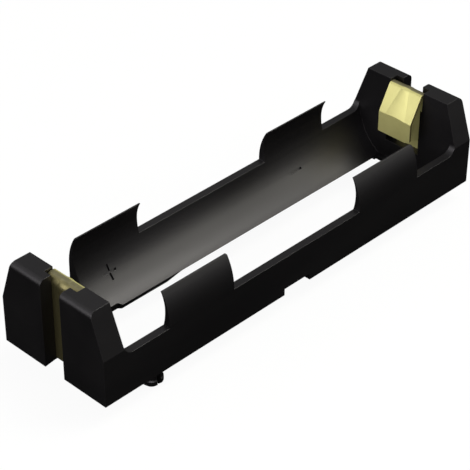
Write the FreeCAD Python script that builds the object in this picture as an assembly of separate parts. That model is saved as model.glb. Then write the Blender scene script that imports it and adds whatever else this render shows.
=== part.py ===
# Holder for one cylindrical cell, made to be snapped onto a circuit board and soldered.
# The body is one moulding: two end blocks joined by two low side walls, with a cradle for the cell
# between them and four thin arms that close over the cell. A folded spring contact stands in a
# pocket at each end. Nothing turns or slides: the arms and the contacts only bend.
#
# Frame: origin at the centre of the face that lies on the board. X runs along the cell, from the
# positive end (-X) to the negative end (+X). +Y is the side with the polarity marks. +Z points
# away from the board. All sizes are in millimetres.
import FreeCAD, Part

import math
import os

V = FreeCAD.Vector

# The cell that the holder takes
CELL_D = 18.5
CELL_L = 65.2
CELL_CLEARANCE = 0.15          # radial, between cell and cradle

# Body, along the cell
BAY_MARGIN = 1.85              # from each cell end to the block face, at the board
BLOCK_T = 4.05                 # end block, at the board
DRAFT_DEG = 2.15               # of the block faces that look into the bay
BLOCK_TOP_ROUND = 0.95         # outer top edge of each block

# Body, across the cell
SIDE_WALL = 0.925              # from the cradle to the outside, at the height of the cell axis
TOP_INSET = 2.325              # how far the sloping shoulders come in at the top
CRADLE_SINK = 0.2              # how far the cradle's round would dip below the board face

# Heights, from the cell axis
BLOCK_ABOVE_AXIS = 5.4
SHOULDER_BELOW_AXIS = 1.5
RAIL_BELOW_AXIS = 2.5
RAIL_ROUND = 1.6               # where a rail runs up into a block

# Floor window
WINDOW_HALF_W = 4.0            # at its upper edge
WINDOW_FLARE = 0.12            # how much wider each side is at the board
WINDOW_WIDE_X = -22.1          # where it starts to widen towards the positive block
WINDOW_WIDER = 0.55
WINDOW_END_STRIP = 1.05        # floor left between the window and each block
FLOOR_T = 0.6

# Scoop at each end of the cradle, for the rim of a cell that is tipped out
SCOOP_START = 2.05             # from the block face at the board
SCOOP_R_LESS = 0.2             # radius of the scoop under that of the cradle
SCOOP_SLOPE_DEG = 10.4

# Arms: each pair stands in line across the cell
ARM_A_FROM_BLOCK = 8.05        # from the positive block face to the first pair
ARM_A_L = 12.4
ARM_B_FROM_BLOCK = 8.75        # from the negative block face to the second pair
ARM_B_L = 13.2
ARM_TIP_ABOVE_AXIS = 2.9
ARM_TIP_INSET = 0.8            # how far the tip reaches over the cell, inside the cradle radius
ARM_TIP_T = 0.23
ARM_ROOT_ABOVE_RAIL = 0.3      # where the outside starts to curve in
ARM_CORNER_NEAR_A = 0.2
ARM_CORNER_NEAR_B = 0.5
ARM_CORNER_FAR = 0.2

# Gap in the far wall, beside the positive block, for a finger under the cell
GAP_FLOOR_Z = 3.6

# Notch through the foot of both side walls
NOTCH_X = -0.875
NOTCH_L = 5.35
NOTCH_H = 1.1
NOTCH_DEPTH = 3.4

# Underside
RELIEF_H = 0.6                 # shallow recess beside the window
RELIEF_X = -13.2
RELIEF_RAMP = 2.8
RELIEF_WALL = 1.8              # side wall left standing on the board
RELIEF_END_WALL = 1.45         # from the recess to the negative block face
CORE_SKIN = 1.1                # under the cradle
CORE_WALL = 1.025              # outer wall beside the cored pockets
CORE_RIB = 1.0
CORE_PER_BANK = 2
CORE_NOTCH_WALL = 1.4
CORE_PEG_WALL = 2.0

# Split peg that snaps into the board
PEG_FROM_BLOCK = 6.55
PEG_INSET = 2.375
PEG_R = 1.55
PEG_BARB_R = 1.7
PEG_TIP_R = 1.05
PEG_GRIP = 1.75                # board thickness plus play
PEG_BARB_RISE = 0.2
PEG_BARB_H = 0.6
PEG_TAPER = 0.65
PEG_SLIT = 0.8
PEG_SLIT_ROOT = 0.35

# Plain pegs: a stout one across from the split peg, and a small one off the centre line that lets
# the holder go onto the board one way round only
STOUT_PEG_R = 1.6
STOUT_PEG_L = 1.5
STOUT_PEG_BOSS_WALL = 1.1
KEY_PEG_FROM_END = 2.57
KEY_PEG_R = 1.1
KEY_PEG_L = 1.2
PLAIN_PEG_CHAMFER = 0.3
PEG_ROOT = 0.7                 # how far pegs run up into the body

# Polarity marks, sunk into the cradle
MARK_DEPTH = 0.35
MARK_STROKE = 0.32
MARK_L = 2.5
PLUS_X = -21.07
PLUS_ANGLE = 56.1              # degrees round the cradle, from its lowest line
PLUS_ACROSS = 2.5
MINUS_X = 17.83
MINUS_ANGLE = 51.9

# Spring contacts
STRIP_T = 0.4
CONTACT_HALF_W = 3.2
LEG_HALF_W = 2.1
LEG_BEND_R = 1.1               # outside of the bend from the leg to the short flat top
LEAF_BEND_R = 0.55             # outside of the bend from the flat top to the leaf
FLAT_BELOW_TOP = 0.38          # the flat, under the top of the block
LEAF_ANGLE = 28.15             # degrees from upright
LEAF_PRELOAD = 0.25            # how far each contact reaches past the end of the cell
APEX_R = 0.5                   # outside of the bend between leaf and pressing face
APEX_ABOVE_AXIS = 0.6          # corner of the strip's centre line there
LEAF_END_BELOW_AXIS = 2.9
FOOT_L = 1.95
FOOT_R = 0.7
SHOULDER_ABOVE_AXIS = 1.25     # lower edge of the wide part of the leg
LEAF_CLIP_W = 0.85
LEAF_CLIP_H = 0.5
LEAF_CORNER_R = 0.2

# Stiffening bead, pressed out over the top and fanning out down the leaf
BEAD_W = 1.6
BEAD_H = 0.08
BEAD_END_W = 4.0
BEAD_END_H = 0.08
BEAD_LEG_L = 1.6

# Pockets and slots for the contacts
BACK_WALL = 2.0                # outside end of the block, behind the leg
SLOT_HALF_W = 1.95
LEG_CLEARANCE = 0.05
LEG_SIDE_CLEARANCE = 0.1
LEAF_SIDE_CLEARANCE = 0.12
POCKET_FLOOR_Z = 3.5
LEG_BAY = 0.6                  # depth of the narrow zone that holds the leg
SOLDER_RELIEF_H = 0.3          # at the leg, under the block; it runs out at the end face
SOLDER_RELIEF_SIDE = 0.35

# Overlap of cutters past the faces that they cut through
PAST = 1.0

# Worked out from the sizes above
CRADLE_R = CELL_D / 2 + CELL_CLEARANCE
AXIS_Z = CRADLE_R - CRADLE_SINK
HALF_W = CRADLE_R + SIDE_WALL
BAY_HALF = CELL_L / 2 + BAY_MARGIN
HALF_L = BAY_HALF + BLOCK_T
TOP_Z = AXIS_Z + BLOCK_ABOVE_AXIS
SHOULDER_Z = AXIS_Z - SHOULDER_BELOW_AXIS
RAIL_Z = AXIS_Z - RAIL_BELOW_AXIS
POCKET_BACK = HALF_L - BACK_WALL
DRAFT = math.tan(math.radians(DRAFT_DEG))
ARM_TIP_Z = AXIS_Z + ARM_TIP_ABOVE_AXIS
ARM_TIP_Y = CRADLE_R - ARM_TIP_INSET
LEAF_END_Z = AXIS_Z - LEAF_END_BELOW_AXIS
ARM_A = (-BAY_HALF + ARM_A_FROM_BLOCK, -BAY_HALF + ARM_A_FROM_BLOCK + ARM_A_L)
ARM_B = (BAY_HALF - ARM_B_FROM_BLOCK - ARM_B_L, BAY_HALF - ARM_B_FROM_BLOCK)
PEG_AT = V(BAY_HALF - PEG_FROM_BLOCK, HALF_W - PEG_INSET, 0)


def bay_half(z):
    """Half the length of the bay at a height: the block faces lean back by the draft."""
    return BAY_HALF + z * DRAFT


def box(x0, x1, y0, y1, z0, z1):
    """Block between two opposite corners."""
    return Part.makeBox(x1 - x0, y1 - y0, z1 - z0, V(x0, y0, z0))


def unit(vector):
    """Copy of a vector with length one."""
    return vector * (1.0 / vector.Length)


def rounded_face(corners):
    """Flat face inside a closed outline of (point, radius) corners, each rounded by a tangent arc."""
    edges = []
    count = len(corners)
    ends = []
    for index, (point, radius) in enumerate(corners):
        to_last = unit(corners[index - 1][0] - point)
        to_next = unit(corners[(index + 1) % count][0] - point)
        if radius <= 0:
            ends.append((point, point))
            continue
        half = to_last.getAngle(to_next) / 2
        reach = radius / math.tan(half)
        centre = point + unit(to_last + to_next) * (radius / math.sin(half))
        start = point + to_last * reach
        end = point + to_next * reach
        edges.append(Part.Arc(start, centre + unit(point - centre) * radius, end).toShape())
        ends.append((start, end))
    for index in range(count):
        start = ends[index][1]
        end = ends[(index + 1) % count][0]
        if (end - start).Length > 1e-7:
            edges.append(Part.LineSegment(start, end).toShape())
    return Part.Face(Part.Wire(Part.__sortEdges__(edges)))


def plate_y(corners, y0, y1):
    """Outline of (x, z, radius) corners, extruded from y0 to y1."""
    return rounded_face([(V(x, y0, z), r) for x, z, r in corners]).extrude(V(0, y1 - y0, 0))


def plate_x(corners, x0, x1):
    """Outline of (y, z) corners, extruded from x0 to x1."""
    return rounded_face([(V(x0, y, z), 0) for y, z in corners]).extrude(V(x1 - x0, 0, 0))


def both_ends(shape):
    """A shape at the negative end and its twin at the positive end, half a turn round Z."""
    twin = shape.copy()
    twin.rotate(V(0, 0, 0), V(0, 0, 1), 180)
    return [shape, twin]


def both_sides(shape):
    """A shape and its mirror image across the cell axis."""
    return [shape, shape.mirror(V(0, 0, 0), V(0, 1, 0))]


def bay_space(floor_z, round_r):
    """The space between the two block faces above a height, with rounded lower corners."""
    top = TOP_Z + PAST
    corners = [(-bay_half(floor_z), floor_z, round_r), (bay_half(floor_z), floor_z, round_r),
               (bay_half(top), top, 0), (-bay_half(top), top, 0)]
    return plate_y(corners, -HALF_W - PAST, HALF_W + PAST)


def blocks_and_walls():
    """End blocks with sloping shoulders, and the low walls and floor between them."""
    top_w = HALF_W - TOP_INSET
    house = plate_x([(-HALF_W, 0), (HALF_W, 0), (HALF_W, SHOULDER_Z), (top_w, TOP_Z),
                     (-top_w, TOP_Z), (-HALF_W, SHOULDER_Z)], -HALF_L, HALF_L)
    side = plate_y([(-HALF_L, 0, 0), (HALF_L, 0, 0), (HALF_L, TOP_Z, BLOCK_TOP_ROUND),
                    (-HALF_L, TOP_Z, BLOCK_TOP_ROUND)], -HALF_W, HALF_W)
    return house.common(side).cut(bay_space(RAIL_Z, RAIL_ROUND))


def arc_through(centre_y, centre_z, radius, angle_from, angle_to, x):
    """Arc in a plane across the cell; angles in degrees from +Y towards +Z."""
    def at(angle):
        """Point on the arc at an angle."""
        turn = math.radians(angle)
        return V(x, centre_y + radius * math.cos(turn), centre_z + radius * math.sin(turn))
    return Part.Arc(at(angle_from), at((angle_from + angle_to) / 2), at(angle_to)).toShape()


def leaning_arc(y_root, z_root, y_tip, z_tip):
    """Radius and swept angle of an arc that leaves upright at its root and ends at the tip."""
    inset = y_root - y_tip
    rise = z_tip - z_root
    radius = (inset ** 2 + rise ** 2) / (2 * inset)
    return radius, math.degrees(math.asin(rise / radius))


def arm(span, corner_near_plus_x, corner_r):
    """Far-side arm, solid towards the cell: the cradle cutter gives it its inner face."""
    x0, x1 = span
    root_z = RAIL_Z + ARM_ROOT_ABOVE_RAIL
    tip_y = ARM_TIP_Y + ARM_TIP_T
    radius, sweep = leaning_arc(HALF_W, root_z, tip_y, ARM_TIP_Z)
    inside_y = ARM_TIP_Y - PAST
    points = [V(x0, tip_y, ARM_TIP_Z), V(x0, inside_y, ARM_TIP_Z), V(x0, inside_y, RAIL_Z - PAST),
              V(x0, HALF_W, RAIL_Z - PAST), V(x0, HALF_W, root_z)]
    edges = [Part.LineSegment(a, b).toShape() for a, b in zip(points, points[1:])]
    edges.append(arc_through(HALF_W - radius, root_z, radius, 0, sweep, x0))
    section = Part.Face(Part.Wire(Part.__sortEdges__(edges))).extrude(V(x1 - x0, 0, 0))
    radii = (0, corner_r) if corner_near_plus_x else (corner_r, 0)
    outline = plate_y([(x0, RAIL_Z - PAST, 0), (x1, RAIL_Z - PAST, 0),
                       (x1, ARM_TIP_Z, radii[1]), (x0, ARM_TIP_Z, radii[0])], 0, HALF_W + PAST)
    return section.common(outline)


def arms():
    """All four arms. The near pair has its rounded corners at the other end."""
    far = [arm(ARM_A, False, ARM_CORNER_FAR), arm(ARM_B, False, ARM_CORNER_FAR)]
    near = [arm(ARM_A, True, ARM_CORNER_NEAR_A), arm(ARM_B, True, ARM_CORNER_NEAR_B)]
    return far + [piece.mirror(V(0, 0, 0), V(0, 1, 0)) for piece in near]


def cradle_cutter():
    """The cell's space: a round trough whose sides lean in again at the arms."""
    x0 = -HALF_L
    radius, sweep = leaning_arc(CRADLE_R, AXIS_Z, ARM_TIP_Y, ARM_TIP_Z)
    top = TOP_Z + PAST
    edges = [arc_through(0, AXIS_Z, CRADLE_R, 180, 360, x0),
             arc_through(CRADLE_R - radius, AXIS_Z, radius, 0, sweep, x0),
             arc_through(radius - CRADLE_R, AXIS_Z, radius, 180, 180 - sweep, x0),
             Part.LineSegment(V(x0, ARM_TIP_Y, ARM_TIP_Z), V(x0, ARM_TIP_Y, top)).toShape(),
             Part.LineSegment(V(x0, ARM_TIP_Y, top), V(x0, -ARM_TIP_Y, top)).toShape(),
             Part.LineSegment(V(x0, -ARM_TIP_Y, top), V(x0, -ARM_TIP_Y, ARM_TIP_Z)).toShape()]
    trough = Part.Face(Part.Wire(Part.__sortEdges__(edges))).extrude(V(2 * HALF_L, 0, 0))
    return trough.common(bay_space(FLOOR_T, 0))


def end_scoop():
    """Cylinder that dips out of the cradle towards the negative block."""
    start = V(BAY_HALF - SCOOP_START, 0, AXIS_Z - SCOOP_R_LESS)
    slope = math.radians(SCOOP_SLOPE_DEG)
    along = V(math.cos(slope), 0, -math.sin(slope))
    scoop = Part.makeCylinder(CRADLE_R - SCOOP_R_LESS, 2 * BLOCK_T, start - along * BLOCK_T, along)
    return scoop.common(bay_space(FLOOR_T, 0))


def window():
    """Opening through the floor, wider at the board than at the cradle."""
    edge_z = AXIS_Z - math.sqrt(CRADLE_R ** 2 - WINDOW_HALF_W ** 2)
    low_w = WINDOW_HALF_W + WINDOW_FLARE * (edge_z + PAST) / edge_z
    end_x = BAY_HALF - WINDOW_END_STRIP
    return plate_x([(-low_w, -PAST), (low_w, -PAST), (WINDOW_HALF_W, edge_z),
                    (WINDOW_HALF_W, edge_z + PAST), (-WINDOW_HALF_W, edge_z + PAST),
                    (-WINDOW_HALF_W, edge_z)], -end_x, end_x)


def window_wide_end():
    """Wider stretch of the window beside the positive block, with slanting sides at its start."""
    wide = WINDOW_HALF_W + WINDOW_WIDER
    end_x = WINDOW_END_STRIP - BAY_HALF
    slant_x = WINDOW_WIDE_X - WINDOW_WIDER
    corners = [(end_x, -wide), (slant_x, -wide), (WINDOW_WIDE_X, -WINDOW_HALF_W),
               (WINDOW_WIDE_X, WINDOW_HALF_W), (slant_x, wide), (end_x, wide)]
    return rounded_face([(V(x, y, -PAST), 0) for x, y in corners]).extrude(V(0, 0, 3 * PAST))


def finger_gap():
    """Space above the lowered stretch of the far wall, from the positive block to the first arm."""
    cutter = box(-HALF_L, ARM_A[0], PAST, HALF_W + PAST, GAP_FLOOR_Z, TOP_Z + PAST)
    return cutter.common(bay_space(FLOOR_T, 0))


def notches():
    """Notch through the foot of each side wall."""
    x0 = NOTCH_X - NOTCH_L / 2
    notch = box(x0, x0 + NOTCH_L, HALF_W - NOTCH_DEPTH, HALF_W + PAST, -PAST, NOTCH_H)
    return both_sides(notch)


def underside_relief():
    """Shallow recess beside the window, with a ramp at one end and clear of the peg bosses."""
    x1 = BAY_HALF - RELIEF_END_WALL
    recess = plate_y([(RELIEF_X, 0, 0), (RELIEF_X + RELIEF_RAMP, RELIEF_H, 0), (x1, RELIEF_H, 0),
                      (x1, -PAST, 0), (RELIEF_X, -PAST, 0)], PAST, HALF_W - RELIEF_WALL)
    boss_r = STOUT_PEG_R + STOUT_PEG_BOSS_WALL
    boss = Part.makeCylinder(boss_r, 2 * PAST, PEG_AT - V(0, 0, PAST))
    return [recess.cut(boss), recess.mirror(V(0, 0, 0), V(0, 1, 0))]


def core_spans():
    """Ends of the cored pockets along X: two banks, one on each side of the notch."""
    outer = PEG_AT.x - PEG_R - CORE_PEG_WALL
    banks = [(-outer, NOTCH_X - NOTCH_L / 2 - CORE_NOTCH_WALL),
             (NOTCH_X + NOTCH_L / 2 + CORE_NOTCH_WALL, outer)]
    spans = []
    for x0, x1 in banks:
        length = (x1 - x0 - (CORE_PER_BANK - 1) * CORE_RIB) / CORE_PER_BANK
        for index in range(CORE_PER_BANK):
            start = x0 + index * (length + CORE_RIB)
            spans.append((start, start + length))
    return spans


def core_pockets():
    """Pockets from below that keep the wall even where the cradle meets the side walls."""
    skin = Part.makeCylinder(CRADLE_R + CORE_SKIN, 2 * HALF_L, V(-HALF_L, 0, AXIS_Z), V(1, 0, 0))
    pockets = []
    for x0, x1 in core_spans():
        pocket = box(x0, x1, WINDOW_HALF_W, HALF_W - CORE_WALL, -PAST, AXIS_Z).cut(skin)
        pockets += both_sides(pocket)
    return pockets


def contact_path():
    """Corners of the contact's centre line, from the foot over the top to the end of the leaf."""
    half_t = STRIP_T / 2
    leg_x = POCKET_BACK - LEG_CLEARANCE - half_t
    flat_z = TOP_Z - FLAT_BELOW_TOP - half_t
    face_x = CELL_L / 2 - LEAF_PRELOAD + half_t
    apex = V(face_x, 0, AXIS_Z + APEX_ABOVE_AXIS)
    leaf_top = V(face_x + (flat_z - apex.z) * math.tan(math.radians(LEAF_ANGLE)), 0, flat_z)
    points = [V(leg_x + half_t - FOOT_L, 0, half_t), V(leg_x, 0, half_t), V(leg_x, 0, flat_z),
              leaf_top, apex, V(face_x, 0, LEAF_END_Z)]
    radii = [0, FOOT_R - half_t, LEG_BEND_R - half_t, LEAF_BEND_R - half_t, APEX_R - half_t, 0]
    return points, radii


def strip(points, radii, thickness, half_w):
    """Bent strip of even thickness along a path in the X-Z plane, with rounded bends."""
    half_t = thickness / 2
    sides = []
    for side in (1, -1):
        row = []
        for index, point in enumerate(points):
            before = unit(point - points[index - 1]) if index else None
            after = unit(points[index + 1] - point) if index + 1 < len(points) else None
            before = before or after
            after = after or before
            normals = [V(-d.z, 0, d.x) for d in (before, after)]
            middle = unit(normals[0] + normals[1])
            shift = side * half_t / middle.dot(normals[0])
            turn = before.x * after.z - before.z * after.x
            inner = 0 if radii[index] <= 0 else half_t * (-1 if side * turn > 0 else 1)
            row.append((point + middle * shift - V(0, half_w, 0), radii[index] + inner))
        sides.append(row)
    outline = sides[0] + sides[1][::-1]
    return rounded_face(outline).extrude(V(0, 2 * half_w, 0))


def bead_section(centre, out, width, height, sink):
    """Outline of the bead: a shallow arc across the strip, closed a little way under its face."""
    side = V(0, width / 2, 0)
    left = centre - side
    right = centre + side
    edges = [Part.Arc(left, centre + out * height, right).toShape(),
             Part.LineSegment(right, right - out * sink).toShape(),
             Part.LineSegment(right - out * sink, left - out * sink).toShape(),
             Part.LineSegment(left - out * sink, left).toShape()]
    return Part.Wire(edges)


def bend_centres(points):
    """Centres of the two bends of the top, each inside its corner of the centre line."""
    _, _, leg_top, leaf_top, _, _ = points
    half_t = STRIP_T / 2
    leg_r = LEG_BEND_R - half_t
    leaf_r = LEAF_BEND_R - half_t
    reach = leaf_r * math.tan(math.radians(90 - LEAF_ANGLE) / 2)
    return leg_top + V(-leg_r, 0, -leg_r), leaf_top + V(reach, 0, -leaf_r)


def bead(points, inward, width, sink):
    """Bead over the top, down the leg and, fanning out, down the leaf.

    It lies on the outside of the strip, or that far inward from it.
    """
    at_leg, at_leaf = bend_centres(points)
    leg_r = LEG_BEND_R - inward
    leaf_r = LEAF_BEND_R - inward
    lean = math.radians(LEAF_ANGLE)
    down = V(-math.sin(lean), 0, -math.cos(lean))
    out = V(-math.cos(lean), 0, math.sin(lean))
    leg = V(1, 0, 0)
    start = at_leaf + out * leaf_r
    end_x = CELL_L / 2 - LEAF_PRELOAD + inward
    run = (start.x - end_x) / -down.x
    leaf_section = bead_section(start, out, width, BEAD_H, sink)
    leaf_end = bead_section(start + down * run, out, BEAD_END_W, BEAD_END_H, sink)
    leaf = Part.makeLoft([leaf_section, leaf_end], True, True)
    over_leaf = Part.Face(leaf_section).revolve(at_leaf, V(0, 1, 0), 90 - LEAF_ANGLE)
    flat_section = bead_section(at_leaf + V(0, 0, leaf_r), V(0, 0, 1), width, BEAD_H, sink)
    flat = Part.Face(flat_section).extrude(V(at_leg.x - at_leaf.x, 0, 0))
    leg_section = bead_section(at_leg + leg * leg_r, leg, width, BEAD_H, sink)
    over_leg = Part.Face(leg_section).revolve(at_leg, V(0, -1, 0), 90)
    low = bead_section(at_leg + leg * leg_r - V(0, 0, BEAD_LEG_L), leg, width / 2, BEAD_END_H, sink)
    tail = Part.makeLoft([leg_section, low], True, True)
    beyond = box(end_x - PAST, end_x, -CONTACT_HALF_W, CONTACT_HALF_W, 0, TOP_Z)
    return leaf.cut(beyond).fuse([over_leaf, flat, over_leg, tail])


def contact():
    """Spring contact of the negative end: foot, leg, top, leaf and the upright pressing face."""
    points, radii = contact_path()
    shape = strip(points, radii, STRIP_T, CONTACT_HALF_W)
    shoulder_z = AXIS_Z + SHOULDER_ABOVE_AXIS
    narrow = box(points[0].x - PAST, HALF_L, LEG_HALF_W, CONTACT_HALF_W + PAST, -PAST, shoulder_z)
    shape = shape.cut(both_sides(narrow))
    shape = shape.fuse(bead(points, 0, BEAD_W, STRIP_T / 4))
    shape = shape.cut(bead(points, STRIP_T, BEAD_W - BEAD_H, STRIP_T / 4))
    return clip_leaf_end(shape).removeSplitter()


def clip_leaf_end(shape):
    """Cut one lower corner of the leaf off square and round the other."""
    x0 = CELL_L / 2 - LEAF_PRELOAD - PAST
    x1 = x0 + PAST + STRIP_T + PAST
    low = LEAF_END_Z
    w = CONTACT_HALF_W
    clip = plate_x([(-w - PAST, low - PAST), (-w + LEAF_CLIP_W, low - PAST), (-w + LEAF_CLIP_W, low),
                    (-w, low + LEAF_CLIP_H), (-w - PAST, low + LEAF_CLIP_H)], x0, x1)
    corner = box(x0, x1, w - LEAF_CORNER_R, w + PAST, low - PAST, low + LEAF_CORNER_R)
    centre = V(x0, w - LEAF_CORNER_R, low + LEAF_CORNER_R)
    corner = corner.cut(Part.makeCylinder(LEAF_CORNER_R, x1 - x0, centre, V(1, 0, 0)))
    return shape.cut([clip, corner])


def contact_channel():
    """Space for the foot and leg under and behind the pocket: the strip's own path, grown, and
    open to the board and to the back outside the bend."""
    points, radii = contact_path()
    half_w = LEG_HALF_W + LEG_SIDE_CLEARANCE
    grown = STRIP_T + 2 * LEG_CLEARANCE
    foot = points[0] - V(LEG_SIDE_CLEARANCE, 0, 0)
    leg_top = V(points[1].x, 0, POCKET_FLOOR_Z + PAST)
    path = strip([foot, points[1], leg_top], radii[:2] + [0], grown, half_w)
    under = box(foot.x, POCKET_BACK, -half_w, half_w, -PAST, grown - LEG_CLEARANCE)
    behind = box(POCKET_BACK - grown, POCKET_BACK, -half_w, half_w, -PAST, POCKET_FLOOR_Z + PAST)
    return path.fuse([under, behind])


def contact_pocket():
    """Pocket for the contact, with ledges for its shoulders, and the slot to the outside."""
    top = TOP_Z + PAST
    wide = CONTACT_HALF_W + LEAF_SIDE_CLEARANCE
    narrow = LEG_HALF_W + LEG_SIDE_CLEARANCE
    ledge_z = AXIS_Z + SHOULDER_ABOVE_AXIS - LEG_CLEARANCE
    front = BAY_HALF - PAST
    step = POCKET_BACK - LEG_BAY
    side = SLOT_HALF_W + SOLDER_RELIEF_SIDE
    relief = plate_y([(HALF_L, 0, 0), (POCKET_BACK, SOLDER_RELIEF_H, 0), (POCKET_BACK, -PAST, 0),
                      (HALF_L, -PAST, 0)], -side, side)
    return [box(front, step, -wide, wide, POCKET_FLOOR_Z, top),
            box(step, POCKET_BACK, -wide, wide, ledge_z, top),
            box(step, POCKET_BACK, -narrow, narrow, POCKET_FLOOR_Z, top),
            box(POCKET_BACK, HALF_L + PAST, -SLOT_HALF_W, SLOT_HALF_W, -PAST, top),
            relief, contact_channel()]


def split_peg(x, y):
    """Peg with a barb and a slit, so that its two halves spring into a hole in the board."""
    barb_z = -PEG_GRIP - PEG_BARB_RISE
    tip_z = barb_z - PEG_BARB_H - PEG_TAPER
    outline = [(0, PEG_ROOT), (PEG_R, PEG_ROOT), (PEG_R, -PEG_GRIP), (PEG_BARB_R, barb_z),
               (PEG_BARB_R, barb_z - PEG_BARB_H), (PEG_TIP_R, tip_z), (0, tip_z)]
    face = rounded_face([(V(x + r, y, z), 0) for r, z in outline])
    peg = face.revolve(V(x, y, 0), V(0, 0, 1), 360)
    slit = box(x - PEG_SLIT / 2, x + PEG_SLIT / 2, y - PEG_BARB_R - PAST, y + PEG_BARB_R + PAST,
               tip_z - PAST, -PEG_SLIT_ROOT)
    return peg.cut(slit)


def plain_peg(x, y, radius, length):
    """Short round peg with a chamfered tip."""
    neck = -length + PLAIN_PEG_CHAMFER
    outline = [(0, PEG_ROOT), (radius, PEG_ROOT), (radius, neck),
               (radius - PLAIN_PEG_CHAMFER, -length), (0, -length)]
    face = rounded_face([(V(x + r, y, z), 0) for r, z in outline])
    return face.revolve(V(x, y, 0), V(0, 0, 1), 360)


def mark_bar(x, angle):
    """Cutter for the stroke of a mark that runs along the cell, at an angle round the cradle."""
    bar = box(x - MARK_L / 2, x + MARK_L / 2, -MARK_STROKE / 2, MARK_STROKE / 2,
              AXIS_Z - CRADLE_R - MARK_DEPTH, AXIS_Z - CRADLE_R + MARK_DEPTH)
    bar.rotate(V(0, 0, AXIS_Z), V(1, 0, 0), angle)
    return bar


def mark_across(x, angle):
    """Cutter for the stroke of the plus that runs round the cradle."""
    ring = Part.makeCylinder(CRADLE_R + MARK_DEPTH, MARK_STROKE,
                             V(x - MARK_STROKE / 2, 0, AXIS_Z), V(1, 0, 0))
    block = box(x - MARK_L, x + MARK_L, -PLUS_ACROSS / 2, PLUS_ACROSS / 2,
                AXIS_Z - CRADLE_R - PAST, AXIS_Z - CRADLE_R / 2)
    block.rotate(V(0, 0, AXIS_Z), V(1, 0, 0), angle)
    return ring.common(block)


def polarity_marks():
    """A plus near the positive end and a minus near the negative end."""
    return [mark_bar(PLUS_X, PLUS_ANGLE), mark_across(PLUS_X, PLUS_ANGLE),
            mark_bar(MINUS_X, MINUS_ANGLE)]


def holder_body():
    """The moulding, from the outside in: blocks and walls, arms, then everything that is open."""
    body = blocks_and_walls().fuse(arms())
    body = body.cut([cradle_cutter()] + both_ends(end_scoop()))
    body = body.cut([window(), window_wide_end(), finger_gap()] + notches() + underside_relief()
                    + core_pockets())
    for cutter in contact_pocket():
        body = body.cut(both_ends(cutter))
    pegs = [split_peg(-PEG_AT.x, -PEG_AT.y),
            plain_peg(PEG_AT.x, PEG_AT.y, STOUT_PEG_R, STOUT_PEG_L),
            plain_peg(-HALF_L + KEY_PEG_FROM_END, PEG_AT.y, KEY_PEG_R, KEY_PEG_L)]
    return body.fuse(pegs).cut(polarity_marks()).removeSplitter()


def save(name, shape):
    """Check that a piece is one valid solid and write it under its name."""
    solid = shape.Solids[0]
    if len(shape.Solids) != 1 or not solid.isValid():
        raise ValueError(name + " is not one valid solid")
    solid.exportStep("parts/" + name + ".step")


def main():
    """Write the three pieces of the holder."""
    os.makedirs("parts", exist_ok=True)
    negative, positive = both_ends(contact())
    save("holder_body", holder_body())
    save("negative_contact", negative)
    save("positive_contact", positive)


main()
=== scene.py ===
"""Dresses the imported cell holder: a black moulded body and two plated spring contacts.

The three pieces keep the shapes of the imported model. This script gives them their finishes, and
sets them on a pale floor under soft studio light, seen from above one corner.

Everything is in metres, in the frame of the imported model: X runs along the cell, +Z points away
from the circuit board, and the origin is the centre of the face that lies on the board.
"""

from __future__ import annotations

import logging
import math
from dataclasses import dataclass, field
from enum import Enum
from typing import Any, Mapping, Union

import bpy
import numpy as np
from mathutils import Matrix, Vector


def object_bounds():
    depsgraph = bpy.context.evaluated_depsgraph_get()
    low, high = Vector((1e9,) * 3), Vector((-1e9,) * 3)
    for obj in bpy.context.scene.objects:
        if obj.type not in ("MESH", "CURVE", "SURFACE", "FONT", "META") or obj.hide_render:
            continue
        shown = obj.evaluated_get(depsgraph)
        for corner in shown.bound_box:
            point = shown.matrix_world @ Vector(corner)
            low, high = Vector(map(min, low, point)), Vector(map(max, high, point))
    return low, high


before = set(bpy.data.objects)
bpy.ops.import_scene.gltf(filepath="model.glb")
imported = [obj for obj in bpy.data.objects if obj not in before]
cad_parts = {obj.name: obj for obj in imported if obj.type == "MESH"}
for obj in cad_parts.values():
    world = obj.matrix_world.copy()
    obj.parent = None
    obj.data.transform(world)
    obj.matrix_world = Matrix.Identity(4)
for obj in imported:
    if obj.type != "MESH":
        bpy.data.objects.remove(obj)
CAD_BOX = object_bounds()

log = logging.getLogger("cell_holder")

Triple = tuple[float, float, float]
Colour = Triple
Span = tuple[float, float]

MM = 0.001
PICTURE_WIDTH_PX = 470
SENSOR_WIDTH_MM = 36.0
NOISE_MEAN = 0.5
UNSTRETCHED: Triple = (1.0, 1.0, 1.0)
WHITE: Colour = (1.0, 1.0, 1.0)
PALE_STRAW: Colour = (1.0, 1.02, 0.89)


class Pole(Enum):
    """The two ends of the cell, each named as the contact that touches it."""

    NEGATIVE = "negative_contact"
    POSITIVE = "positive_contact"


class Ray(Enum):
    """How a surface is looked at, each named as the Light Path output that tells it."""

    SEEN = "Is Camera Ray"
    THROUGH = "Is Transmission Ray"
    MIRRORED = "Is Glossy Ray"


# Shader nodes


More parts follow.
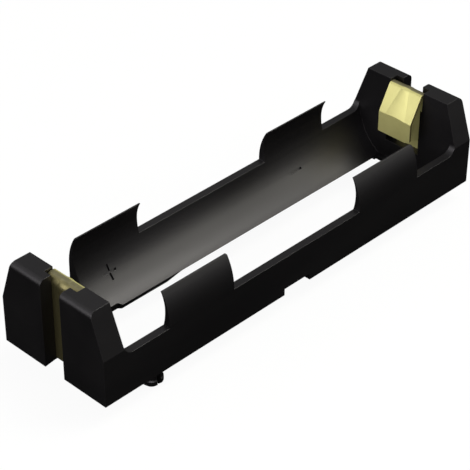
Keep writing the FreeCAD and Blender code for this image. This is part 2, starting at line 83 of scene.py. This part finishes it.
class Signal:
    """A number that changes over a surface; arithmetic on it adds the Math nodes it needs."""

    def __init__(self, bench: Bench, socket: bpy.types.NodeSocket) -> None:
        """Wraps one output socket.

        Args:
            bench: the node bench that the socket belongs to.
            socket: the output that carries the number.
        """
        self.bench = bench
        self.socket = socket

    def _math(self, operation: str, *values: Number) -> Signal:
        """Adds one Math node.

        Args:
            operation: the node's operation.
            values: its inputs, in order.

        Returns:
            The node's result.
        """
        return self.bench.signal(
            "ShaderNodeMath", {"operation": operation}, dict(enumerate(values))
        )

    def __add__(self, other: Number) -> Signal:
        """Sum of this and another number."""
        return self._math("ADD", self, other)

    __radd__ = __add__

    def __sub__(self, other: Number) -> Signal:
        """This less another number."""
        return self._math("SUBTRACT", self, other)

    def __rsub__(self, other: Number) -> Signal:
        """Another number less this."""
        return self._math("SUBTRACT", other, self)

    def __mul__(self, other: Number) -> Signal:
        """Product of this and another number."""
        return self._math("MULTIPLY", self, other)

    __rmul__ = __mul__

    def __abs__(self) -> Signal:
        """This without its sign."""
        return self._math("ABSOLUTE", self)

    def rise(self, span: Span) -> Signal:
        """Smooth step of this number, from 0 to 1.

        Args:
            span: where the step begins, and where it is complete.

        Returns:
            The step, 0 up to the span's start and 1 from its end on.
        """
        settings = {"interpolation_type": "SMOOTHSTEP"}
        values = {"Value": self, "From Min": span[0], "From Max": span[1]}
        return self.bench.signal("ShaderNodeMapRange", settings, values)


Number = Union[float, Signal]
Shade = Union[Colour, bpy.types.NodeSocket]
Key = Union[int, str]


class Bench:
    """The node tree of one material or of the world, with its output at hand."""

    def __init__(self, owner: Union[bpy.types.Material, bpy.types.World], output: str) -> None:
        """Clears the owner's tree and puts its output in.

        Args:
            owner: the material or world.
            output: the type of its output node.
        """
        owner.use_nodes = True
        self.owner = owner
        self.tree = owner.node_tree
        self.tree.nodes.clear()
        self.output = self.node(output, {}, {})

    @classmethod
    def for_material(cls, name: str) -> Bench:
        """Bench of a new material with this name."""
        return cls(bpy.data.materials.new(name), "ShaderNodeOutputMaterial")

    @classmethod
    def for_world(cls, name: str) -> Bench:
        """Bench of a new world with this name."""
        return cls(bpy.data.worlds.new(name), "ShaderNodeOutputWorld")

    def node(
        self, kind: str, settings: Mapping[str, Any], inputs: Mapping[Key, Any]
    ) -> bpy.types.Node:
        """Adds a node of any type.

        Args:
            kind: the node's type.
            settings: its own settings, which are set first.
            inputs: a value, a signal or an output socket for each of its inputs.

        Returns:
            The new node.
        """
        made = self.tree.nodes.new(kind)
        for key, value in settings.items():
            setattr(made, key, value)
        for key, value in inputs.items():
            if isinstance(value, Signal):
                value = value.socket
            if isinstance(value, bpy.types.NodeSocket):
                self.tree.links.new(value, made.inputs[key])
            elif isinstance(value, tuple) and made.inputs[key].type == "RGBA":
                made.inputs[key].default_value = (*value, 1.0)
            else:
                made.inputs[key].default_value = value
        return made

    def signal(
        self, kind: str, settings: Mapping[str, Any], inputs: Mapping[Key, Any], output: Key = 0
    ) -> Signal:
        """Adds a node and wraps one of its outputs as a number.

        Args:
            kind: the node's type.
            settings: its own settings.
            inputs: the values or links of its inputs.
            output: the output that is wanted.

        Returns:
            That output.
        """
        return Signal(self, self.node(kind, settings, inputs).outputs[output])

    def ray(self, kind: Ray) -> Signal:
        """Tells one kind of ray from the others.

        Args:
            kind: the kind.

        Returns:
            1 for a ray of that kind, and 0 for any other.
        """
        return self.signal("ShaderNodeLightPath", {}, {}, kind.value)

    def position(self, stretch: Triple = UNSTRETCHED) -> bpy.types.NodeSocket:
        """Place on the piece, in metres, drawn out or pressed together along each axis.

        Args:
            stretch: what each coordinate is multiplied by.

        Returns:
            The place, as a vector output.
        """
        place = self.node("ShaderNodeTexCoord", {}, {}).outputs["Object"]
        if stretch == UNSTRETCHED:
            return place
        settings = {"operation": "MULTIPLY"}
        return self.node("ShaderNodeVectorMath", settings, {0: place, 1: stretch}).outputs[0]

    def facing(self) -> bpy.types.NodeSocket:
        """The way the surface faces, with its edges as sharp as they are modelled."""
        return self.node("ShaderNodeNewGeometry", {}, {}).outputs["Normal"]

    def rounded(self, radius: float, samples: int) -> bpy.types.NodeSocket:
        """The way the surface faces once its edges are rounded.

        Args:
            radius: how far the rounding reaches from an edge, in metres.
            samples: how many rays feel for the edge.

        Returns:
            The direction, as a vector output.
        """
        return self.node("ShaderNodeBevel", {"samples": samples}, {"Radius": radius}).outputs[0]

    def axis(self, vector: bpy.types.NodeSocket, name: str) -> Signal:
        """One part of a vector.

        Args:
            vector: the vector output.
            name: X, Y or Z.

        Returns:
            That part.
        """
        return self.signal("ShaderNodeSeparateXYZ", {}, {0: vector}, name)

    def dot(self, first: bpy.types.NodeSocket, second: bpy.types.NodeSocket) -> Signal:
        """How far two directions agree.

        Args:
            first: one direction.
            second: the other.

        Returns:
            Their dot product, 1 where they are the same.
        """
        settings = {"operation": "DOT_PRODUCT"}
        return self.signal("ShaderNodeVectorMath", settings, {0: first, 1: second}, "Value")

    def noise(self, pitch: float, detail: float, stretch: Triple = UNSTRETCHED) -> Signal:
        """Soft random variation over the piece, between 0 and 1 and about 0.5 on the whole.

        Args:
            pitch: the size of its coarsest patches, in metres.
            detail: how many times finer patches are added.
            stretch: what each coordinate is multiplied by.

        Returns:
            The variation.
        """
        values = {"Vector": self.position(stretch), "Scale": 1.0 / pitch, "Detail": detail}
        return self.signal("ShaderNodeTexNoise", {"noise_dimensions": "3D"}, values)

    def blend(self, share: Number, first: Shade, second: Shade) -> bpy.types.NodeSocket:
        """Mixes two colours.

        Args:
            share: how much of the second colour shows.
            first: the colour at 0.
            second: the colour at 1.

        Returns:
            The mixed colour, as an output.
        """
        mixer = self.node("ShaderNodeMix", {"data_type": "RGBA"}, {0: share, 6: first, 7: second})
        return mixer.outputs[2]

    def mix(self, share: Number, first: bpy.types.Node, second: bpy.types.Node) -> bpy.types.Node:
        """Mixes two shaders.

        Args:
            share: how much of the second shader shows.
            first: the shader at 0.
            second: the shader at 1.

        Returns:
            The mixed shader.
        """
        inputs = {0: share, 1: first.outputs[0], 2: second.outputs[0]}
        return self.node("ShaderNodeMixShader", {}, inputs)

    def relief(
        self, height: Signal, depth: float, normal: bpy.types.NodeSocket
    ) -> bpy.types.NodeSocket:
        """Turns a pattern into fine relief.

        Args:
            height: the pattern, from 0 in its valleys to 1 on its crests.
            depth: how far apart valleys and crests are, in metres.
            normal: the way the surface faces without it.

        Returns:
            The way it faces with the relief, as a vector output.
        """
        inputs = {"Strength": 1.0, "Distance": depth, "Height": height, "Normal": normal}
        return self.node("ShaderNodeBump", {}, inputs).outputs[0]

    def finish(self, surface: bpy.types.Node) -> Union[bpy.types.Material, bpy.types.World]:
        """Joins a shader to the output and hands the owner over."""
        self.tree.links.new(surface.outputs[0], self.output.inputs["Surface"])
        return self.owner


# Finishes


@dataclass(frozen=True)
class MouldedPlastic:
    """Black glass-filled plastic, as it comes out of a spark-eroded mould."""

    name: str = "moulding"

    deep: Colour = (0.0019, 0.0017, 0.0020)
    bloom: Colour = (0.0036, 0.0033, 0.0035)
    shine: float = 0.65
    shine_tint: Colour = (1.0, 0.95, 1.0)
    roughness: float = 0.40

    flow_pitch: float = 6.0 * MM
    flow_detail: float = 3.0
    flow_stretch: Triple = (0.22, 1.0, 1.0)
    flow_span: Span = (0.3, 0.75)
    flow_roughness: float = 0.08

    grain_pitch: float = 0.13 * MM
    grain_detail: float = 2.0
    grain_depth: float = 0.0035 * MM

    edge_round: float = 0.09 * MM
    edge_samples: int = 6
    edge_span: Span = (0.02, 0.25)
    # Lighter colour where an edge turns: a painted edge highlight.
    painted_edge_highlight: Colour = (0.030, 0.029, 0.030)
    painted_edge_highlight_share: float = 0.5
    rubbed_polish: float = 0.06

    def build(self) -> bpy.types.Material:
        """Makes the material.

        The colour drifts between a deep and a bloomed black along the way the melt ran. It is
        lighter where an edge turns, a painted edge highlight, and a little smoother there. The
        fine grain is relief.

        Returns:
            The material.
        """
        bench = Bench.for_material(self.name)
        flow = bench.noise(self.flow_pitch, self.flow_detail, self.flow_stretch)
        grain = bench.noise(self.grain_pitch, self.grain_detail)
        rounded = bench.rounded(self.edge_round, self.edge_samples)
        edge = (1.0 - bench.dot(rounded, bench.facing())).rise(self.edge_span)
        tone = bench.blend(flow.rise(self.flow_span), self.deep, self.bloom)
        # Painted edge highlight: the colour is lightened where an edge turns.
        tone = bench.blend(edge * self.painted_edge_highlight_share, tone, self.painted_edge_highlight)
        roughness = self.roughness + self.flow_roughness * (flow - NOISE_MEAN)
        inputs = {
            "Base Color": tone,
            "Roughness": roughness - self.rubbed_polish * edge,
            "Specular IOR Level": self.shine,
            "Specular Tint": self.shine_tint,
            "Normal": bench.relief(grain, self.grain_depth, rounded),
        }
        return bench.finish(bench.node("ShaderNodeBsdfPrincipled", {}, inputs))


@dataclass(frozen=True)
class PlatedSpring:
    """Rolled copper-alloy strip, plated pale gold on the side that touches the cell."""

    name: str = "contact_metal"

    plating: Colour = (0.80, 0.745, 0.30)
    dulled: Colour = (0.69, 0.635, 0.24)
    plated_metallic: float = 0.42
    plated_roughness: float = 0.36

    bare: Colour = (0.39, 0.355, 0.205)
    bare_span: Span = (-12.0 * MM, 2.0 * MM)
    bare_metallic: float = 0.96
    bare_roughness: float = 0.44

    # dark is the sheared edges' own colour, and also painted shade laid on the back.
    dark: Colour = (0.30, 0.26, 0.11)
    shaded_back_span: Span = (6.0 * MM, 20.0 * MM)
    shaded_back_share: float = 0.7
    cut_span: Span = (0.80, 0.97)
    cut_share: float = 0.8
    cut_roughness: float = 0.55

    stain_pitch: float = 2.6 * MM
    stain_detail: float = 3.0
    stain_span: Span = (0.35, 0.75)
    stain_share: float = 0.45

    streak_pitch: float = 0.9 * MM
    streak_detail: float = 2.0
    streak_stretch: Triple = (1.0, 14.0, 1.0)
    streak_share: float = 0.15
    streak_roughness: float = 0.10
    streak_depth: float = 0.0015 * MM

    edge_round: float = 0.05 * MM
    edge_samples: int = 4

    def build(self) -> bpy.types.Material:
        """Makes the material.

        Streaks from the rolls run along the strip, so the noise is pressed together across
        it. Outward is the facing's part along X times the place along X: well below 0 on the
        plated side, which looks at the cell, about 0 on the bare flat top, and well above 0
        on the back, which is darkened as painted shade. Faces that look along Y were cut with
        shears, and are dark and rough.

        Returns:
            The material.
        """
        bench = Bench.for_material(self.name)
        streaks = bench.noise(self.streak_pitch, self.streak_detail, self.streak_stretch)
        stain = bench.noise(self.stain_pitch, self.stain_detail).rise(self.stain_span)
        facing = bench.facing()
        cut = abs(bench.axis(facing, "Y")).rise(self.cut_span)
        outward = bench.axis(facing, "X") * bench.axis(bench.position(), "X")
        bare = outward.rise(self.bare_span)
        shaded_back = outward.rise(self.shaded_back_span)
        dulling = stain * self.stain_share + streaks * self.streak_share
        tone = bench.blend(dulling, self.plating, self.dulled)
        tone = bench.blend(bare, tone, self.bare)
        # Painted shade: the back, which faces away from the cell, is darkened.
        tone = bench.blend(shaded_back * self.shaded_back_share, tone, self.dark)
        tone = bench.blend(cut * self.cut_share, tone, self.dark)
        roughness = self.plated_roughness + self.streak_roughness * (streaks - NOISE_MEAN)
        roughness += (self.bare_roughness - self.plated_roughness) * bare
        roughness += (self.cut_roughness - self.plated_roughness) * cut
        rounded = bench.rounded(self.edge_round, self.edge_samples)
        inputs = {
            "Base Color": tone,
            "Metallic": self.plated_metallic + (self.bare_metallic - self.plated_metallic) * bare,
            "Roughness": roughness,
            "Normal": bench.relief(streaks, self.streak_depth, rounded),
        }
        return bench.finish(bench.node("ShaderNodeBsdfPrincipled", {}, inputs))


@dataclass(frozen=True)
class StudioPaper:
    """Paper floor: near white to the eye, with the holder's shadow, and dark to the lamps."""

    name: str = "studio_paper"
    grey: Colour = (0.012, 0.012, 0.012)
    lift_seen: float = 0.93
    lift_mirrored: float = 0.008

    def build(self) -> bpy.types.Material:
        """Makes the material.

        Camera and transmission rays see mostly plain white, and glossy rays a trace of it.
        Light that bounces meets the grey. From underneath the paper is not seen at all.

        Returns:
            The material.
        """
        bench = Bench.for_material(self.name)
        seen = bench.ray(Ray.SEEN)
        lift = (seen + bench.ray(Ray.THROUGH)) * self.lift_seen
        lift += bench.ray(Ray.MIRRORED) * self.lift_mirrored
        grey = bench.node("ShaderNodeBsdfDiffuse", {}, {"Color": self.grey})
        paper = bench.node("ShaderNodeBsdfDiffuse", {}, {"Color": WHITE})
        white = bench.node("ShaderNodeEmission", {}, {"Color": WHITE, "Strength": 1.0})
        clear = bench.node("ShaderNodeBsdfTransparent", {}, {})
        front = bench.mix(lift, bench.mix(seen, grey, paper), white)
        behind = bench.signal("ShaderNodeNewGeometry", {}, {}, "Backfacing")
        return bench.finish(bench.mix(behind, front, clear))


# The holder


def wear(node: str, finish: bpy.types.Material) -> None:
    """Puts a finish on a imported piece, in every slot that its mesh has.

    Args:
        node: the piece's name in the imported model.
        finish: its material.
    """
    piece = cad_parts[node]
    if not piece.material_slots:
        piece.data.materials.append(finish)
    for slot in piece.material_slots:
        slot.material = finish
    log.info("%s wears %s", node, finish.name)


@dataclass
class Housing:
    """The one-piece moulding: end blocks, side walls, cradle and the four arms."""

    node: str = "holder_body"
    plastic: MouldedPlastic = field(default_factory=MouldedPlastic)

    def dress(self) -> None:
        """Gives the moulding its plastic."""
        wear(self.node, self.plastic.build())


@dataclass
class ContactPair:
    """The two folded spring contacts, one in the pocket of each block."""

    metal: PlatedSpring = field(default_factory=PlatedSpring)

    def dress(self) -> None:
        """Gives both contacts the same plated strip."""
        strip = self.metal.build()
        for pole in Pole:
            wear(pole.value, strip)


# The studio


@dataclass(frozen=True)
class Softbox:
    """A square lamp that hangs in some direction from the holder, and is aimed at it."""

    name: str
    towards: Triple
    side: float
    level: float
    colour: Colour = WHITE
    distance: float = 0.60

    def build(self) -> None:
        """Hangs the lamp.

        A lamp of P watts at distance d gives a white surface that faces it a brightness of
        P over pi squared d squared, so the watts come from the wanted level.
        """
        data = bpy.data.lights.new(self.name, "AREA")
        data.shape = "SQUARE"
        data.size = self.side
        data.energy = self.level * (math.pi * self.distance) ** 2
        data.color = self.colour
        lamp = bpy.data.objects.new(self.name, data)
        away = Vector(self.towards).normalized()
        lamp.location = away * self.distance
        lamp.rotation_mode = "QUATERNION"
        lamp.rotation_quaternion = away.to_track_quat("Z", "Y")
        bpy.context.scene.collection.objects.link(lamp)
        log.info("lamp %s", self.name)


@dataclass
class Studio:
    """Floor, world and lamps round the holder."""

    paper: StudioPaper = field(default_factory=StudioPaper)
    floor_below: float = 0.05 * MM
    floor_radius: float = 1.6
    rings: int = 8
    spokes: int = 96
    world_level: float = 0.20
    world_mirrored: float = 0.15
    lamps: tuple[Softbox, ...] = (
        Softbox("top_lamp", towards=(0.18, -0.30, 0.93), side=0.36, level=0.25),
        Softbox("key_lamp", towards=(0.40, -0.28, 0.87), side=0.25, level=0.34, colour=PALE_STRAW),
        Softbox("side_lamp", towards=(0.57, -0.62, 0.54), side=0.25, level=0.18, colour=PALE_STRAW),
        Softbox("end_lamp", towards=(-0.88, 0.36, 0.31), side=0.42, level=0.23),
        Softbox("front_lamp", towards=(-0.85, 0.05, 0.52), side=0.34, level=0.10),
        Softbox("fill_lamp", towards=(-0.70, -0.60, 0.39), side=0.40, level=0.40),
        Softbox("low_lamp", towards=(0.57, -0.80, 0.20), side=0.24, level=0.015),
        Softbox("rim_lamp", towards=(0.30, 0.80, 0.52), side=0.50, level=0.025),
        Softbox("back_lamp", towards=(-0.20, 0.86, 0.46), side=0.50, level=0.14),
    )

    def build(self) -> None:
        """Lays the floor just under the lowest peg, and lights the scene."""
        self._floor(CAD_BOX[0].z - self.floor_below)
        self._world()
        for lamp in self.lamps:
            lamp.build()

    def _floor(self, height: float) -> None:
        """Makes the floor: a flat disc, whose points are radius times (cos, sin) of an angle.

        Args:
            height: the floor's level.
        """
        radius = np.linspace(0.0, self.floor_radius, self.rings + 1)[1:]
        angle = np.linspace(0.0, 2.0 * math.pi, self.spokes, endpoint=False)
        r, a = np.meshgrid(radius, angle, indexing="ij")
        rim = np.stack([r * np.cos(a), r * np.sin(a), np.full_like(r, height)], axis=-1)
        points = np.vstack([[[0.0, 0.0, height]], rim.reshape(-1, 3)])
        here = np.arange(self.rings * self.spokes).reshape(self.rings, self.spokes) + 1
        beside = np.roll(here, -1, axis=1)
        quads = np.stack([here[:-1], here[1:], beside[1:], beside[:-1]], axis=-1).reshape(-1, 4)
        centre = np.stack([np.zeros(self.spokes, int), here[0], beside[0]], axis=-1)
        mesh = bpy.data.meshes.new("floor")
        mesh.from_pydata(points.tolist(), [], quads.tolist() + centre.tolist())
        mesh.materials.append(self.paper.build())
        floor = bpy.data.objects.new("floor", mesh)
        bpy.context.scene.collection.objects.link(floor)
        log.info("floor at %.2f mm", height / MM)

    def _world(self) -> None:
        """Makes the world: white to the eye and through glass, and dim to all that it lights."""
        bench = Bench.for_world("studio")
        seen = bench.ray(Ray.SEEN) + bench.ray(Ray.THROUGH)
        level = self.world_level + (1.0 - self.world_level) * seen
        level += (self.world_mirrored - self.world_level) * bench.ray(Ray.MIRRORED)
        sky = bench.node("ShaderNodeBackground", {}, {"Color": WHITE, "Strength": level})
        bpy.context.scene.world = bench.finish(sky)


@dataclass(frozen=True)
class CornerCamera:
    """The camera: above the near corner of the positive end, looking down the holder."""

    place: Triple = (-158.71 * MM, -151.49 * MM, 159.15 * MM)
    heading_deg: float = 44.269
    dip_deg: float = 35.310
    roll_deg: float = 0.224
    focal_px: float = 1816.3
    nearest: float = 10.0 * MM

    def build(self) -> None:
        """Sets the camera up and makes it the scene's own.

        The sight line is turned from +X by the heading, about Z, and lowered by the dip. The
        picture is then rolled about it.
        """
        heading, dip, roll = map(math.radians, (self.heading_deg, self.dip_deg, self.roll_deg))
        sight = Vector(
            (math.cos(heading) * math.cos(dip), math.sin(heading) * math.cos(dip), -math.sin(dip))
        )
        level = sight.cross(Vector((0.0, 0.0, 1.0))).normalized()
        above = level.cross(sight)
        right = level * math.cos(roll) + above * math.sin(roll)
        up = above * math.cos(roll) - level * math.sin(roll)
        data = bpy.data.cameras.new("corner_camera")
        data.sensor_width = SENSOR_WIDTH_MM
        data.lens = self.focal_px / PICTURE_WIDTH_PX * SENSOR_WIDTH_MM
        data.clip_start = self.nearest
        camera = bpy.data.objects.new("corner_camera", data)
        turn = Matrix((right, up, -sight)).transposed().to_4x4()
        camera.matrix_world = Matrix.Translation(self.place) @ turn
        bpy.context.scene.collection.objects.link(camera)
        bpy.context.scene.camera = camera
        bpy.context.scene.view_settings.view_transform = "Standard"


def main() -> None:
    logging.basicConfig(level=logging.INFO, format="%(name)s: %(message)s")
    Housing().dress()
    ContactPair().dress()
    Studio().build()
    CornerCamera().build()


if __name__ == "__main__":
    main()
